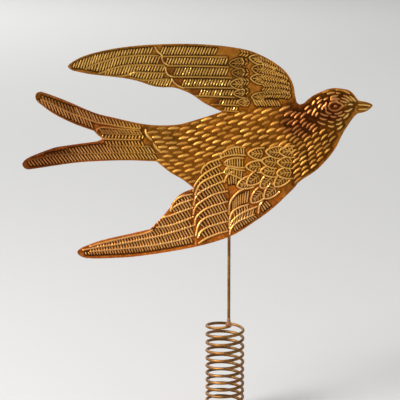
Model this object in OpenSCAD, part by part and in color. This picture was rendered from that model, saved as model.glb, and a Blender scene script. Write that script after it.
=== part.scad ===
// Swallow whirligig: a stamped brass swallow that turns on a wire rod.
// The rod stands on an open wire coil, which is pushed over an upright stem or stake.
// Millimetres. Z is up, the origin is on the coil's axis at its lower end, and the
// bird's beak points along +X with its embossed face towards -Y.

/* [Wire coil] */
// Diameter of the wire that the coil and the rod are made of
wire_d = 3; // [2:0.1:4]
// Width inside the coil, which the stem passes through
coil_inner_d = 34; // [24:1:60]
// Number of turns
coil_turns = 12.5; // [6:0.5:18]
// Rise of one turn at the lower end
bottom_pitch = 6.3; // [5:0.1:9]
// Rise of one turn at the upper end
top_pitch = 9; // [6:0.1:12]
// How far the wire's upper end is lifted out of the coil to meet the rod
end_lift = 2; // [0:0.5:4]
// Where the rod stands round the coil, in degrees from +X
foot_angle = 281; // [240:1:300]
// How far the wire's end runs on past the rod, in degrees
end_past_rod = 8; // [4:1:20]

/* [Rod] */
// Length of the rod
rod_l = 185; // [120:1:260]
// Width of the braze fillet's rim beyond the rod
foot_braze_w = 1.4; // [0.6:0.1:2]
// Radius of the braze fillet's hollow side
foot_braze_r = 4; // [3:0.5:8]
// Gap between the rod's foot and the highest point of the coil's wire
foot_clearance = 0.3; // [0.2:0.1:1]

/* [Pivot] */
// Length of the tube on the bird's back
tube_l = 56; // [30:1:75]
// Wall of the tube
tube_wall = 1.2; // [0.8:0.1:2]
// Gap all round between the rod and the tube's bore
pivot_clearance = 0.05; // [0.03:0.01:0.1]
// Diameter of the ball that the cap rests on
ball_d = 3; // [2:0.1:3]
// Gap between the ball and the rod's end
ball_clearance = 0.1; // [0.1:0.05:0.3]
// Length of the cap's plug inside the tube
plug_l = 3; // [2:0.5:6]
// Thickness of the cap's head
cap_t = 1.2; // [0.8:0.1:2.5]
// Width of each braze seam beside the tube
seam_w = 1.4; // [0.8:0.1:2.5]

/* [Swallow] */
// Thickness of the brass sheet
sheet_t = 0.8; // [0.5:0.1:1.2]
// How far the tube's top end lies below the level of the beak's root
tube_below_beak = 30; // [20:1:40]
// Height above the beak's root at which the upper wing begins to curve forward
upper_bend_z = 16; // [10:1:20]
// Radius that the upper wing curves on
upper_bend_r = 120; // [90:5:300]
// Depth below the beak's root at which the lower wing begins to curve forward
lower_bend_z = 82; // [80:1:90]
// Radius that the lower wing curves on
lower_bend_r = 190; // [140:5:400]

/* [Hidden] */
$fn = 64;

wire_r = wire_d / 2;
coil_r = coil_inner_d / 2 + wire_r;
end_angle = foot_angle + end_past_rod;
lift_span = 60; // degrees of the coil over which its end is lifted
coil_sides = 8;
rings_per_turn = 24;

// The tube has one bore that runs on the rod and one, above it, for the ball and plug
tube_bore_r = wire_r + pivot_clearance;
ball_bore_r = max(tube_bore_r, ball_d / 2 + pivot_clearance);
tube_r = ball_bore_r + tube_wall;

// Height of the coil wire's centre, after some number of turns from its lower end
function coil_rise(turns) =
    wire_r + bottom_pitch * turns
    + (top_pitch - bottom_pitch) * turns * turns / (2 * coil_turns);

// Extra height of the wire's end: nothing until the last stretch, then a smooth rise
function lift(turns) =
    let (s = max(0, 1 - (coil_turns - turns) * 360 / lift_span))
    end_lift * s * s;

function coil_angle(turns) = end_angle - 360 * (coil_turns - turns);

function coil_point(turns) = [
    coil_r * cos(coil_angle(turns)),
    coil_r * sin(coil_angle(turns)),
    coil_rise(turns) + lift(turns)
];

// The rod stands over the coil wire, a little short of the wire's end
foot_x = coil_r * cos(foot_angle);
foot_y = coil_r * sin(foot_angle);
foot_z = coil_point(coil_turns)[2] + wire_r + foot_clearance;
rod_top_z = foot_z + rod_l;
plug_z = rod_top_z + ball_clearance + ball_d;
tube_top_z = plug_z + plug_l;
tube_bottom_z = tube_top_z - tube_l;

// The sheet lies against the tube; its outline is drawn from the pivot line
// and from the level of the beak's root
sheet_back_y = -tube_r;
sheet_front_y = sheet_back_y - sheet_t;
beak_z = tube_top_z + tube_below_beak;

// Outline of the swallow, one stretch after another, from the upper wing's tip along
// its front edge and on round the head, breast, lower wing and tail. Each stretch is
// one smooth curve, and the bird has a corner where two stretches meet.
upper_wing_front = [
    [-153, 36], [-157, 38.5], [-157, 42], [-146, 49], [-130, 54.4],
    [-110, 58.6], [-88, 61.3], [-66, 62.6], [-44, 63], [-20, 62],
    [2, 59.6], [21.5, 55.3], [41.5, 45.5], [55, 34.6], [62, 23],
    [64.2, 12], [66, 5], [69, 2.5]
];
head = [
    [69, 2.5], [73, 4], [78, 8.5], [85, 13], [99.5, 18.5],
    [114, 17.5], [120, 14.5], [124, 9.5], [126.5, 6.5]
];
beak = [
    [126.5, 6.5], [136, 4.5], [140.5, 1.5], [134.5, -4], [125.5, -6.5]
];
breast = [
    [125.5, -6.5], [120.5, -12], [111.5, -26.5], [103, -43.5],
    [87.5, -61.5], [70.5, -73.5], [64.5, -80.5]
];
lower_wing_front = [
    [64.5, -80.5], [45, -99.5], [25.5, -114], [1, -128.5], [-36, -139],
    [-87, -147], [-118, -149.2], [-138, -149.4], [-146, -148],
    [-150, -145.3], [-150.4, -142.4], [-146, -139]
];
lower_wing_rear = [
    [-146, -139], [-127.5, -132.5], [-98.5, -126], [-78.5, -121.5]
];
outer_scallop = [
    [-78.5, -121.5], [-67.5, -110.5], [-59, -100.5]
];
inner_scallop = [
    [-59, -100.5], [-55, -93.5], [-47, -86], [-35, -81]
];
belly = [
    [-35, -81], [-46.5, -72], [-58.5, -65], [-72, -54]
];
lower_tail = [
    [-72, -54], [-98, -53], [-124, -53.5], [-153.5, -55.5], [-194, -61.5],
    [-201, -61.5], [-204, -59], [-204, -55], [-197, -49.5], [-175, -41],
    [-163, -38.5], [-130.5, -34]
];
tail_fork = [
    [-130.5, -34], [-125.5, -31.5], [-130, -27.5], [-133.5, -23.5]
];
upper_tail = [
    [-133.5, -23.5], [-153, -16.5], [-172, -7], [-184.5, 2], [-189, 6],
    [-190.5, 10], [-189.5, 13.5], [-186.5, 15], [-182.5, 14.5],
    [-162, 7], [-133, -5.5], [-113.5, -10.5], [-89.5, -16],
    [-72.5, -18], [-58.5, -18]
];
back = [
    [-58.5, -18], [-46.5, -16.5], [-26, -10.5], [-7.5, -4.5]
];
upper_wing_rear = [
    [-7.5, -4.5], [-24, 3.5], [-38, 13], [-53.5, 19], [-66, 19.5],
    [-76, 21], [-91, 26], [-106.5, 29], [-136, 32.5], [-153, 36]
];
stretches = [
    upper_wing_front, head, beak, breast, lower_wing_front, lower_wing_rear,
    outer_scallop, inner_scallop, belly, lower_tail, tail_fork, upper_tail,
    back, upper_wing_rear
];
steps_per_point = 4;

// Catmull-Rom curve through a list of points, without the last point
function before(points, i) = i > 0 ? points[i - 1] : 2 * points[0] - points[1];

function after(points, i) =
    i < len(points) ? points[i] : 2 * points[len(points) - 1] - points[len(points) - 2];

function blend(a, b, c, d, t) =
    (2 * b + (c - a) * t + (2 * a - 5 * b + 4 * c - d) * t * t
    + (3 * b - a - 3 * c + d) * t * t * t) / 2;

function curve(points) = [
    for (i = [0 : len(points) - 2])
        for (step = [0 : steps_per_point - 1])
            blend(before(points, i), points[i], points[i + 1], after(points, i + 2),
                  step / steps_per_point)
];

outline = [for (stretch = stretches) each curve(stretch)];
outline_reach = 260; // further than any point of the outline

// A tube swept along the coil's own line, closed at both ends
module coil_socket() {
    rings = round(coil_turns * rings_per_turn);
    points = [
        for (i = [0 : rings])
            let (
                turns = coil_turns * i / rings,
                centre = coil_point(turns),
                angle = coil_angle(turns)
            )
            for (side = [0 : coil_sides - 1])
                let (
                    out = wire_r * cos(360 * side / coil_sides),
                    up = wire_r * sin(360 * side / coil_sides)
                )
                [
                    centre[0] + out * cos(angle),
                    centre[1] + out * sin(angle),
                    centre[2] + up
                ]
    ];
    walls = [
        for (i = [0 : rings - 1])
            for (side = [0 : coil_sides - 1])
                let (
                    next = (side + 1) % coil_sides,
                    low = i * coil_sides,
                    high = low + coil_sides
                )
                [low + side, high + side, high + next, low + next]
    ];
    start_cap = [for (side = [0 : coil_sides - 1]) side];
    end_cap = [
        for (side = [0 : coil_sides - 1]) (rings + 1) * coil_sides - 1 - side
    ];
    color([0.62, 0.40, 0.20])
        polyhedron(points, concat(walls, [start_cap, end_cap]), convexity = 20);
}

module rod() {
    color([0.55, 0.33, 0.15])
        translate([foot_x, foot_y, foot_z])
            cylinder(h = rod_l, r = wire_r);
}

// Filler metal round the rod's foot: a ring with a hollow-curved outside
module foot_braze() {
    color([0.75, 0.50, 0.33])
        translate([foot_x, foot_y, foot_z])
            rotate_extrude()
                difference() {
                    translate([wire_r, 0])
                        square([foot_braze_w, foot_braze_r]);
                    translate([wire_r + foot_braze_r, foot_braze_r])
                        circle(r = foot_braze_r);
                }
}

// Side view of the sheet: flat behind the body, each wing curving forward
module sheet_profile() {
    flat_low = beak_z - lower_bend_z;
    flat_high = beak_z + upper_bend_z;
    translate([sheet_front_y, flat_low])
        square([sheet_t, flat_high - flat_low]);
    intersection() {
        wing_arc(upper_bend_r, flat_high);
        translate([sheet_front_y - upper_bend_r, flat_high])
            square([upper_bend_r + sheet_t, upper_bend_r]);
    }
    intersection() {
        wing_arc(lower_bend_r, flat_low);
        translate([sheet_front_y - lower_bend_r, flat_low - lower_bend_r])
            square([lower_bend_r + sheet_t, lower_bend_r]);
    }
}

module wing_arc(radius, height) {
    translate([sheet_front_y - radius, height])
        difference() {
            circle(r = radius + sheet_t, $fn = 180);
            circle(r = radius, $fn = 180);
        }
}

module swallow_sheet() {
    color([0.66, 0.44, 0.17])
        translate([foot_x, foot_y, 0])
            intersection() {
                translate([0, outline_reach / 2, beak_z])
                    rotate([90, 0, 0])
                        linear_extrude(outline_reach)
                            polygon(outline);
                translate([-outline_reach, 0, 0])
                    rotate([90, 0, 90])
                        linear_extrude(2 * outline_reach)
                            sheet_profile();
            }
}

module pivot_tube() {
    color([0.60, 0.42, 0.20])
        translate([foot_x, foot_y, tube_bottom_z])
            difference() {
                cylinder(h = tube_l, r = tube_r);
                translate([0, 0, -1])
                    cylinder(h = tube_l + 2, r = tube_bore_r);
                translate([0, 0, rod_top_z - tube_bottom_z])
                    cylinder(h = tube_l, r = ball_bore_r);
            }
}

// Two seams of filler metal in the corners between the tube and the sheet
module tube_seams() {
    seam_h = tube_r / 2 + seam_w;
    seam_rim = 0.2;
    hollow_r = seam_h - seam_rim;
    color([0.75, 0.52, 0.34])
        translate([foot_x, foot_y, tube_bottom_z])
            linear_extrude(tube_l)
                for (side = [0, 1])
                    mirror([side, 0])
                        difference() {
                            translate([tube_r / 2, sheet_back_y])
                                square([seam_h, seam_h]);
                            circle(r = tube_r);
                            translate([tube_r + seam_w, sheet_back_y + hollow_r + seam_rim])
                                circle(r = hollow_r);
                        }
}

// A turned cap: a plug pressed into the tube and a head as wide as the tube
module tube_cap() {
    edge = cap_t / 3;
    color([0.68, 0.48, 0.22])
        translate([foot_x, foot_y, 0])
            rotate_extrude()
                polygon([
                    [0, plug_z],
                    [ball_bore_r, plug_z],
                    [ball_bore_r, tube_top_z],
                    [tube_r, tube_top_z],
                    [tube_r, tube_top_z + cap_t - edge],
                    [tube_r - edge, tube_top_z + cap_t],
                    [0, tube_top_z + cap_t]
                ]);
}

module pivot_ball() {
    color([0.75, 0.76, 0.78])
        translate([foot_x, foot_y, plug_z - ball_d / 2])
            sphere(d = ball_d);
}

coil_socket();
rod();
foot_braze();
swallow_sheet();
pivot_tube();
tube_seams();
tube_cap();
pivot_ball();
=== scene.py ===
# Swallow whirligig, the visual model: an embossed brass swallow that turns on a wire rod
# standing on an open wire coil.
# The embossing is laid out in millimetres, [across from the pivot line, up from the level
# of the beak's root]. Everything in the scene is in metres, in the part's own frame.

import math
import random

import bmesh
import bpy
import numpy as np
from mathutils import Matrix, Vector, kdtree
from mathutils.geometry import delaunay_2d_cdt


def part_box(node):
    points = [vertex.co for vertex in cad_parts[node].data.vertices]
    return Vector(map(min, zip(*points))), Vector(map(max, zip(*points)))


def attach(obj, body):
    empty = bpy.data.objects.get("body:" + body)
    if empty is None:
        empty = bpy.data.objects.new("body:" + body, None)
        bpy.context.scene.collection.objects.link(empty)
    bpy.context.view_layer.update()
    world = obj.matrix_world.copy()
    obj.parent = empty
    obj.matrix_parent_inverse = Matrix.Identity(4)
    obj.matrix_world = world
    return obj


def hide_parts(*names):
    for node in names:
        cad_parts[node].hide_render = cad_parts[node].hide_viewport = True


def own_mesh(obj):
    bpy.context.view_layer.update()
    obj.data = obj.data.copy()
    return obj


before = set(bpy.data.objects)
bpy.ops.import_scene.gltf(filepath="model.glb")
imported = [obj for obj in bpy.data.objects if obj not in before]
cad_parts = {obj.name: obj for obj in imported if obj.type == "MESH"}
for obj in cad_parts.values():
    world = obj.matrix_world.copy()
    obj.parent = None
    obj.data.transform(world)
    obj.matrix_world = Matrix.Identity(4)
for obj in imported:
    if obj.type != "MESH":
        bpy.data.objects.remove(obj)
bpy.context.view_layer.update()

MM = 0.001

# ---------------------------------------------------------------- places from the part

rod_low, rod_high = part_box("rod")
PIVOT_X = (rod_low.x + rod_high.x) / 2
PIVOT_Y = (rod_low.y + rod_high.y) / 2
WIRE_R = (rod_high.x - rod_low.x) / 2
ROD_FOOT_Z = rod_low.z
TUBE_LOW_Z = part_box("pivot_tube")[0].z
TUBE_HIGH_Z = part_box("tube_cap")[1].z
BEAK_OVER_TUBE = 30 * MM
BEAK_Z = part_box("pivot_tube")[1].z + BEAK_OVER_TUBE
SHEET_T = 0.8 * MM
SHEET_FRONT_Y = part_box("swallow_sheet")[1].y - SHEET_T

UPPER_BEND_Z = 16
UPPER_BEND_R = 120
LOWER_BEND_Z = -82
LOWER_BEND_R = 190

# ---------------------------------------------------------------- node tree helpers


def feed(tree, socket, value):
    """Joins a socket to another node's output, or gives it a plain value."""
    if isinstance(value, bpy.types.NodeSocket):
        tree.links.new(value, socket)
    else:
        socket.default_value = value


def add_node(tree, kind, inputs=None, **settings):
    """A node with its settings, and its inputs by label or number."""
    made = tree.nodes.new(kind)
    for name, value in settings.items():
        setattr(made, name, value)
    for label, value in (inputs or {}).items():
        feed(tree, made.inputs[label], value)
    return made


def maths(tree, operation, *values, clamp=False):
    inputs = dict(enumerate(values))
    made = add_node(tree, "ShaderNodeMath", inputs, operation=operation, use_clamp=clamp)
    return made.outputs[0]


def product(tree, *values):
    result = values[0]
    for value in values[1:]:
        result = maths(tree, "MULTIPLY", result, value)
    return result


def rest_of(tree, value):
    """What is left of 1."""
    return maths(tree, "SUBTRACT", 1.0, value)


def fall(tree, value, near, far):
    """1 where value is at or under near, easing to 0 where it is at or over far."""
    inputs = {"Value": value, "From Min": near, "From Max": far, "To Min": 1.0, "To Max": 0.0}
    made = add_node(tree, "ShaderNodeMapRange", inputs, interpolation_type="SMOOTHSTEP")
    return made.outputs["Result"]


def mix_colour(tree, factor, one, other, blend="MIX"):
    inputs = {"Factor": factor, "A": one, "B": other}
    made = add_node(tree, "ShaderNodeMix", inputs, data_type="RGBA", blend_type=blend)
    return [socket for socket in made.outputs if socket.type == "RGBA"][0]


def new_tree(name, kind, inputs, outputs):
    """A node group with named sockets; each is (name, socket type, default or None)."""
    tree = bpy.data.node_groups.new(name, kind)
    for in_out, sockets in (("INPUT", inputs), ("OUTPUT", outputs)):
        for label, socket_type, default in sockets:
            made = tree.interface.new_socket(label, in_out=in_out, socket_type=socket_type)
            if default is not None:
                made.default_value = default
    start = tree.nodes.new("NodeGroupInput")
    end = tree.nodes.new("NodeGroupOutput")
    return tree, start, end


FLOAT = "NodeSocketFloat"
COLOUR = "NodeSocketColor"
GEOMETRY = "NodeSocketGeometry"
OBJECT = "NodeSocketObject"
MATERIAL = "NodeSocketMaterial"


def close_tree(tree, end, geometry, material):
    """Ends a geometry tree: makes instances real and gives the result its finish."""
    real = add_node(tree, "GeometryNodeRealizeInstances", {"Geometry": geometry})
    inputs = {"Geometry": real.outputs["Geometry"], "Material": material}
    finish = add_node(tree, "GeometryNodeSetMaterial", inputs)
    feed(tree, end.inputs["Geometry"], finish.outputs["Geometry"])


# ---------------------------------------------------------------- object helpers


def set_out(name, data):
    """A new object in the scene."""
    made = bpy.data.objects.new(name, data)
    bpy.context.scene.collection.objects.link(made)
    return made


def shade_smooth(mesh):
    mesh.polygons.foreach_set("use_smooth", [True] * len(mesh.polygons))


def settle(shape, mesh):
    """Turns a closed shape's faces outwards, and writes it to its mesh."""
    bmesh.ops.recalc_face_normals(shape, faces=shape.faces)
    shape.to_mesh(mesh)
    shape.free()
    shade_smooth(mesh)


def carry(mesh, label, values):
    """Stores one number for each point of a mesh."""
    layer = mesh.attributes.new(label, "FLOAT", "POINT")
    layer.data.foreach_set("value", np.array(values, np.float32))


def grow(name, source, tree, values, body):
    """Runs a geometry tree on a mesh, and returns the result as a plain piece on a body."""
    carrier = set_out(name + "_source", source)
    modifier = carrier.modifiers.new("tree", "NODES")
    modifier.node_group = tree
    for item in tree.interface.items_tree:
        if item.item_type == "SOCKET" and item.in_out == "INPUT" and item.name in values:
            modifier[item.identifier] = values[item.name]
    carrier.update_tag()
    bpy.context.view_layer.update()
    graph = bpy.context.evaluated_depsgraph_get()
    result = bpy.data.meshes.new_from_object(
        carrier.evaluated_get(graph), preserve_all_data_layers=True, depsgraph=graph
    )
    carrier.modifiers.remove(modifier)
    bpy.data.objects.remove(carrier)
    result.name = name
    piece = set_out(name, result)
    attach(piece, body)
    return piece


# ---------------------------------------------------------------- finishes

PATINA, patina_in, patina_out = new_tree(
    "patina",
    "ShaderNodeTree",
    [
        ("Plain", COLOUR, None),
        ("Hollow", COLOUR, None),
        ("Crest", COLOUR, None),
        ("Crest Mask", FLOAT, 0.0),
        ("Hollow Mask", FLOAT, 0.0),
        ("Mottle Size", FLOAT, 14.0),
        ("Mottle Strength", FLOAT, 0.35),
    ],
    [("Color", COLOUR, None), ("Roughness", FLOAT, None), ("Height", FLOAT, None)],
)

# The share of each noise's range over which it comes in
BROAD_RANGE = (0.38, 0.66)
FINE_RANGE = (0.36, 0.68)
# A painted highlight: how much paler the very tops of the rubbed crests are made, a whitish gleam
# that stands in for the light they catch
PAINTED_HIGHLIGHT_TINT = (0.15, 0.48, 1.0, 1.0)
PAINTED_HIGHLIGHT_SHARE = 0.78
# How strongly the fine specks show, and how far they hold back the rubbing
SPECK_SHARE = 0.35
PATCHY_SHARE = 0.25
ROUGHNESS = 0.42
ROUGHER_BY = 0.14
SMOOTHER_BY = 0.18
GRAIN_STRENGTH = 0.35


def fill_patina():
    tree, given = PATINA, patina_in.outputs
    place = add_node(tree, "ShaderNodeTexCoord").outputs["Object"]
    size = maths(tree, "DIVIDE", 1.0, product(tree, given["Mottle Size"], MM))

    def noise(times, detail, roughness):
        inputs = {"Vector": place, "Scale": product(tree, size, times)}
        inputs |= {"Detail": detail, "Roughness": roughness}
        return add_node(tree, "ShaderNodeTexNoise", inputs).outputs["Fac"]

    broad = noise(1.0, 3.0, 0.55)
    fine = noise(7.0, 4.0, 0.65)
    broad_mask = rest_of(tree, fall(tree, broad, *BROAD_RANGE))
    fine_mask = rest_of(tree, fall(tree, fine, *FINE_RANGE))
    strength = given["Mottle Strength"]
    stains = product(tree, broad_mask, strength)
    specks = product(tree, fine_mask, strength, SPECK_SHARE)
    colour = mix_colour(tree, stains, given["Plain"], given["Hollow"])
    colour = mix_colour(tree, specks, colour, given["Crest"])
    colour = mix_colour(tree, given["Hollow Mask"], colour, given["Hollow"])
    patchy = rest_of(tree, product(tree, fine_mask, PATCHY_SHARE))
    rubbed = maths(tree, "MULTIPLY", given["Crest Mask"], patchy, clamp=True)
    colour = mix_colour(tree, rubbed, colour, given["Crest"])
    # Painted highlight: the tops of the crests are dodged towards a whitish gleam
    painted_highlight = product(tree, maths(tree, "POWER", rubbed, 2.0), PAINTED_HIGHLIGHT_SHARE)
    colour = mix_colour(tree, painted_highlight, colour, PAINTED_HIGHLIGHT_TINT, blend="DODGE")
    rough = maths(tree, "ADD", product(tree, fine_mask, ROUGHER_BY), ROUGHNESS)
    rough = maths(tree, "ADD", rough, product(tree, rubbed, -SMOOTHER_BY))
    feed(tree, patina_out.inputs["Color"], colour)
    feed(tree, patina_out.inputs["Roughness"], rough)
    feed(tree, patina_out.inputs["Height"], maths(tree, "ADD", fine, broad))


fill_patina()


def linear(red, green, blue):
    """A colour given in 0-255 screen values, as the linear colour the shader wants."""
    values = []
    for value in (red, green, blue):
        share = value / 255
        values.append(share / 12.92 if share <= 0.04045 else ((share + 0.055) / 1.055) ** 2.4)
    return (*values, 1.0)


def metal(name, plain, hollow, crest, size, strength, metallic=0.8, bump=0.05, masks=None):
    """A brass finish: masks gives the crest and hollow masks, made in the material's tree."""
    material = bpy.data.materials.new(name)
    material.use_nodes = True
    tree = material.node_tree
    shader = tree.nodes["Principled BSDF"]
    crest_mask, hollow_mask, colours = 0.0, 0.0, (plain, hollow, crest)
    if masks:
        crest_mask, hollow_mask, colours = masks(tree, colours)
    inputs = dict(zip(("Plain", "Hollow", "Crest"), colours))
    inputs |= {"Crest Mask": crest_mask, "Hollow Mask": hollow_mask}
    inputs |= {"Mottle Size": size, "Mottle Strength": strength}
    patina = add_node(tree, "ShaderNodeGroup", inputs, node_tree=PATINA).outputs
    inputs = {"Strength": GRAIN_STRENGTH, "Distance": bump * MM, "Height": patina["Height"]}
    grain = add_node(tree, "ShaderNodeBump", inputs)
    feed(tree, shader.inputs["Base Color"], patina["Color"])
    feed(tree, shader.inputs["Roughness"], patina["Roughness"])
    feed(tree, shader.inputs["Metallic"], metallic)
    feed(tree, shader.inputs["Normal"], grain.outputs["Normal"])
    return material


def sheet_masks(tree, colours):
    """Masks and regional tints of the swallow, from the attributes its mesh carries."""

    def carried(label):
        return add_node(tree, "ShaderNodeAttribute", attribute_name=label).outputs["Fac"]

    plain, hollow, crest = colours
    copper, olive, dark_tone_and_shade = carried("copper"), carried("olive"), carried("dark_tone_and_shade")
    tinted = []
    # Each row: a colour, then its copper, olive and dark versions; the dark mix is partly the
    # brass's own darker tone and partly painted shade
    tints = (
        (plain, linear(184, 93, 24), linear(150, 95, 32), linear(104, 46, 15)),
        (hollow, linear(58, 22, 4), linear(50, 27, 5), linear(34, 13, 3)),
        (crest, linear(255, 186, 104), linear(250, 194, 98), linear(202, 122, 62)),
    )
    for base, warm, green, dark in tints:
        colour = mix_colour(tree, copper, base, warm)
        colour = mix_colour(tree, olive, colour, green)
        colour = mix_colour(tree, dark_tone_and_shade, colour, dark)
        tinted.append(colour)
    return carried("crest"), carried("hollow"), tinted


SHEET_FINISH = metal(
    "antiqued_brass_sheet",
    linear(172, 98, 21),
    linear(52, 24, 4),
    linear(255, 184, 84),
    18.0,
    0.45,
    metallic=1.0,
    masks=sheet_masks,
)
WIRE_FINISH = metal(
    "bronzed_wire", linear(138, 94, 48), linear(66, 42, 20), linear(214, 166, 106), 14.0, 0.6,
    metallic=1.0,
)
TUBE_FINISH = metal(
    "drawn_brass_tube", linear(176, 128, 66), linear(112, 74, 34), linear(226, 186, 126), 8.0, 0.5
)
BRAZE_FINISH = metal(
    "flowed_filler", linear(162, 108, 72), linear(104, 62, 38), linear(222, 170, 130), 3.0, 0.6,
    bump=0.15,
)
BALL_FINISH = metal(
    "polished_ball", linear(214, 214, 218), linear(150, 150, 156), linear(240, 240, 244), 4.0, 0.2,
    metallic=1.0,
    bump=0.01,
)

# ---------------------------------------------------------------- lines of the embossing


def smooth(points, steps=6):
    """A Catmull-Rom curve through the points."""
    if len(points) < 3:
        return [tuple(p) for p in points]
    before = 2 * np.array(points[0]) - points[1]
    after = 2 * np.array(points[-1]) - points[-2]
    p = np.array([before, *points, after])
    curve = []
    for i in range(1, len(p) - 2):
        a, b, c, d = p[i - 1], p[i], p[i + 1], p[i + 2]
        for step in range(steps):
            t = step / steps
            bend = 2 * a - 5 * b + 4 * c - d
            curve.append((2 * b + (c - a) * t + bend * t * t + (3 * b - a - 3 * c + d) * t**3) / 2)
    curve.append(p[-2])
    return [tuple(map(float, q)) for q in curve]


def walk(path):
    """Length of a path, and a function that gives its point at a share of that length."""
    points = np.array(path, float)
    reach = np.concatenate([[0], np.cumsum(np.linalg.norm(np.diff(points, axis=0), axis=1))])

    def at(share):
        distance = min(max(share, 0), 1) * reach[-1]
        return np.array([np.interp(distance, reach, points[:, i]) for i in (0, 1)])

    return reach[-1], at


STROKES = {kind: [] for kind in ("ridge", "bar", "barb", "dash", "quill", "groove")}
chance = random.Random(11)


def jitter(size):
    return np.array([chance.uniform(-size, size), chance.uniform(-size, size)])


def stroke(kind, *points, bold=1.0):
    STROKES[kind].append(([tuple(map(float, p)) for p in points], bold))


def ridge(*points, kind="ridge", bold=1.0):
    STROKES[kind].append((smooth(list(points)), bold))


def bar(start, end, inset=0.0, kind="bar", shortest=1.2, bold=1.0):
    """A punched bar between two points, drawn in at both ends."""
    start, end = np.array(start, float), np.array(end, float)
    span = end - start
    length = np.linalg.norm(span)
    if length - 2 * inset < shortest:
        return
    draw_in = span / length * inset
    ends = start + draw_in + jitter(0.15), end - draw_in + jitter(0.15)
    stroke(kind, *ends, bold=bold * chance.uniform(0.72, 1.0))


def ladder(one, other, pitch, lean=0.0, inset=1.3):
    """Bars from one curve to another; lean moves the ends on the first curve forward."""
    length_one, at_one = walk(smooth(one))
    length_other, at_other = walk(smooth(other))
    length = (length_one + length_other) / 2
    tilt = lean / 2 / length
    for i in range(int(length / pitch)):
        share = ((i + 0.5) * pitch + chance.uniform(-0.12, 0.12)) / length
        if share + abs(tilt) > 1.01 or share - abs(tilt) < -0.01:
            continue
        bar(at_one(share + tilt), at_other(share - tilt), inset)


def slats(upper, lower, start, stop, pitch, slope, inset=0.8, bold=1.0):
    """Bars across a strip, a pitch apart; slope moves their tops forward for each mm of rise."""
    top, foot = np.array(smooth(upper)), np.array(smooth(lower))
    x = start
    while x <= stop:
        half = (np.interp(x, *top.T) - np.interp(x, *foot.T)) / 2 * slope
        low = (x - half, np.interp(x - half, *foot.T))
        high = (x + half, np.interp(x + half, *top.T))
        bar(low, high, inset, bold=bold)
        x += pitch + chance.uniform(-0.15, 0.15)


leaves = []
LEAF_STEP = 0.5
# A leaf is full at this share of its length, and a larger power makes its tip more pointed
LEAF_FULL = 0.84
LEAF_POWER = 0.74
# Bare width between a leaf's rim and the ends of its barbs
BARB_CLEAR = 1.8


def leaf_half(along, length, width):
    """Half the width of a leaf at some way from its tip: an arch that stays open behind."""
    share = min(max(along / (LEAF_FULL * length), 0.0), 1.0)
    return width / 2 * (1 - (1 - share) ** 2) ** LEAF_POWER


def in_leaf(point, leaf):
    tip, heading, length, width = leaf
    offset = np.array(point) - tip
    along = offset @ heading
    across = offset[0] * -heading[1] + offset[1] * heading[0]
    return 0 < along < length and abs(across) < leaf_half(along, length, width)


def clear_of_leaves(points, kind, bold):
    """Lays the stretches of a line that lie outside the leaves already laid."""
    length, at = walk(points)
    count = max(2, int(length / LEAF_STEP) + 1)
    runs = [[]]
    for i in range(count):
        point = at(i / (count - 1))
        if any(in_leaf(point, laid) for laid in leaves):
            runs.append([])
        else:
            runs[-1].append(point)
    for run in runs:
        if len(run) > 2:
            stroke(kind, *run, bold=bold)


def leaf(tip, angle, length=14.0, width=11.0, pitch=2.9, rim_kind="ridge", bold=1.0):
    """A small round-ended feather: rim, mid rib and barbs. The angle points to its root."""
    tip = np.array(tip, float)
    heading = np.array([math.cos(math.radians(angle)), math.sin(math.radians(angle))])
    side = np.array([-heading[1], heading[0]])

    def place(along, across):
        return tip + heading * along + side * across

    steps = [length * (i / 12) ** 1.6 for i in range(13)]
    upper = [place(along, leaf_half(along, length, width)) for along in steps]
    lower = [place(along, -leaf_half(along, length, width)) for along in steps]
    clear_of_leaves(upper[:0:-1] + lower, rim_kind, bold)
    clear_of_leaves([place(0.2 * length, 0), place(0.95 * length, 0)], "barb", 0.9 * bold)
    at = 0.26 * length
    while at < 0.92 * length:
        reach = leaf_half(at - 1.0, length, width) - BARB_CLEAR
        if reach > BARB_CLEAR / 2:
            for turn in (-1, 1):
                barb = [place(at + 1.6, turn * 1.0), place(at - 0.6, turn * (reach + 0.3))]
                clear_of_leaves(barb, "barb", bold * chance.uniform(0.6, 0.95))
        at += pitch
    leaves.append((tip, heading, length, width))


def herringbone(path, pitch, half, sweep, gap=0.5):
    """Two rows of slanting bars that meet in arrows along a path."""
    length, at = walk(smooth(path))
    count = int(length / pitch)
    for i in range(count):
        share = (i + 0.5) / count
        middle = at(share)
        along = at(min(1, share + 0.01)) - at(max(0, share - 0.01))
        along /= np.linalg.norm(along)
        side = np.array([-along[1], along[0]])
        for turn in (-1, 1):
            bar(
                middle + side * turn * gap,
                middle + side * turn * half + along * sweep,
                kind="barb",
                shortest=0.8,
            )


# Upper wing, outer half: five long bands of leaning bars
rim_a = [(-152, 43.5), (-146, 47), (-135, 51), (-125, 53.8), (-100, 57.8), (-73, 60.2)]
line_1 = [
    (-141, 38), (-130, 43.5), (-120, 46.5), (-110, 49.5), (-100, 51), (-90, 51.8), (-80, 52),
    (-70, 51.5),
]
line_2 = [
    (-128, 34), (-122, 35.5), (-118, 37.5), (-112, 39.5), (-105, 41), (-93, 42.3), (-80, 42.5),
    (-64, 42),
]
line_3 = [(-122, 31.8), (-110, 31), (-100, 32), (-96, 33.5), (-90, 35), (-80, 34.5), (-63, 34)]
line_4 = [(-97, 29.8), (-90, 28), (-80, 27), (-70, 27.5), (-60, 28.5)]
for line in (line_1, line_2, line_3, line_4):
    ridge(*[(x, z - 0.5) for x, z in line], bold=0.5)
    ridge(*[(x, z + 1.0) for x, z in line], kind="groove")
slats(rim_a, [(-154, 38.6), (-146, 37.6), *line_1], -152, -75, 2.8, 0.42, 0.9)
slats(line_1, [(-143, 37.2), (-136, 36), *line_2], -137, -68, 2.8, 0.38, 1.3)
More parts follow.
